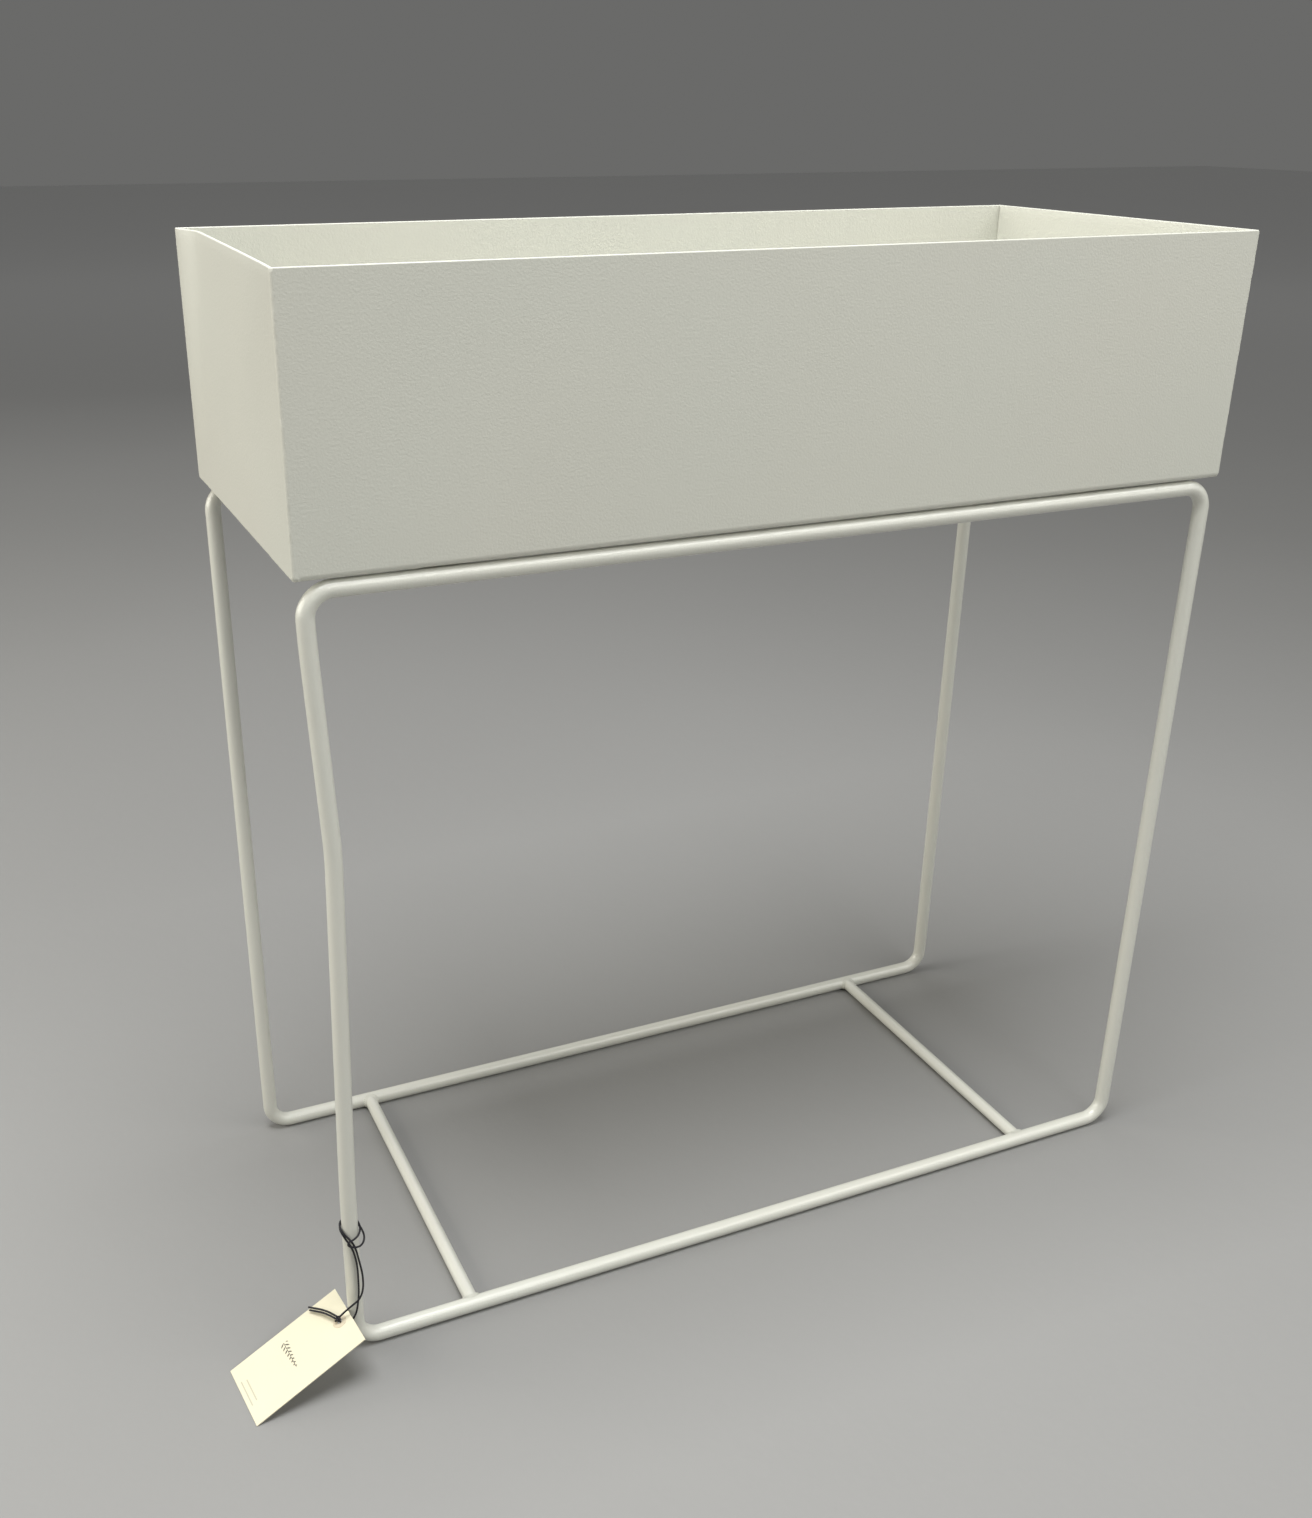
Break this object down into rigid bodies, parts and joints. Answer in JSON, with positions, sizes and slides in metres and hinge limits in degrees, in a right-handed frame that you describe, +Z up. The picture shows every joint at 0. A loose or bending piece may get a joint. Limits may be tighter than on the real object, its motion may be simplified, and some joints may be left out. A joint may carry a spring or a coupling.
{
  "type": "raised planter",
  "caption": "Raised rectangular planter: folded and welded steel box on a slim frame of bent round-bar loops, with a hang tag hitched to one leg.",
  "frame": {"origin": "on the floor, under the middle of the planter's footprint", "axes": "+X along the long side to the right seen from the front, -Y towards the front, +Z up"},
  "size_m": [0.6726, 0.2842, 0.65],
  "materials": {
    "coated_sheet": "matt powder coat with a fine orange-peel grain",
    "coated_seam": "matt powder coat over a ground weld",
    "coated_bar": "matt powder coat, slightly smoother on the bent bar",
    "coated_bead": "matt powder coat over a weld bead",
    "coated_flat": "matt powder coat",
    "coated_nut": "matt powder coat",
    "zinc_screw": "bright zinc plated",
    "zinc_washer": "zinc plated",
    "seal_rubber": "matt black rubber",
    "bush_nylon": "natural nylon",
    "card": "uncoated cream card",
    "patch_paper": "kraft paper",
    "cord": "black waxed cotton cord"
  },
  "bodies": {
    "planter": {"box_wrap": "coated_sheet", "left_end_panel": "coated_sheet", "right_end_panel": "coated_sheet", "left_end_weld": "coated_seam", "right_end_weld": "coated_seam", "front_loop": "coated_bar", "rear_loop": "coated_bar", "lower_rod_left": "coated_bar", "lower_rod_right": "coated_bar", "lower_rod_welds_left": "coated_bead", "lower_rod_welds_right": "coated_bead", "cross_bar_welds_left": "coated_bead", "cross_bar_welds_right": "coated_bead", "cross_bar_left": "coated_flat", "cross_bar_right": "coated_flat", "box_screw_front_left": "zinc_screw", "steel_washer_front_left": "zinc_washer", "sealing_washer_front_left": "seal_rubber", "spacer_bush_front_left": "bush_nylon", "weld_nut_front_left": "coated_nut", "box_screw_front_right": "zinc_screw", "steel_washer_front_right": "zinc_washer", "sealing_washer_front_right": "seal_rubber", "spacer_bush_front_right": "bush_nylon", "weld_nut_front_right": "coated_nut", "box_screw_rear_left": "zinc_screw", "steel_washer_rear_left": "zinc_washer", "sealing_washer_rear_left": "seal_rubber", "spacer_bush_rear_left": "bush_nylon", "weld_nut_rear_left": "coated_nut", "box_screw_rear_right": "zinc_screw", "steel_washer_rear_right": "zinc_washer", "sealing_washer_rear_right": "seal_rubber", "spacer_bush_rear_right": "bush_nylon", "weld_nut_rear_right": "coated_nut"},
    "hang_tag": {"tag_card": "card", "tag_patch": "patch_paper", "tag_cord": "cord", "tag_knot": "cord", "tag_tail_long": "cord", "tag_tail_short": "cord"}
  },
  "joints": [
    {"name": "tag_turn", "type": "hinge", "parent": "planter", "child": "hang_tag", "pos_m": [-0.294, -0.12, 0.09], "axis": [0, 0, 1], "range_deg": [-135, 135]}
  ]
}
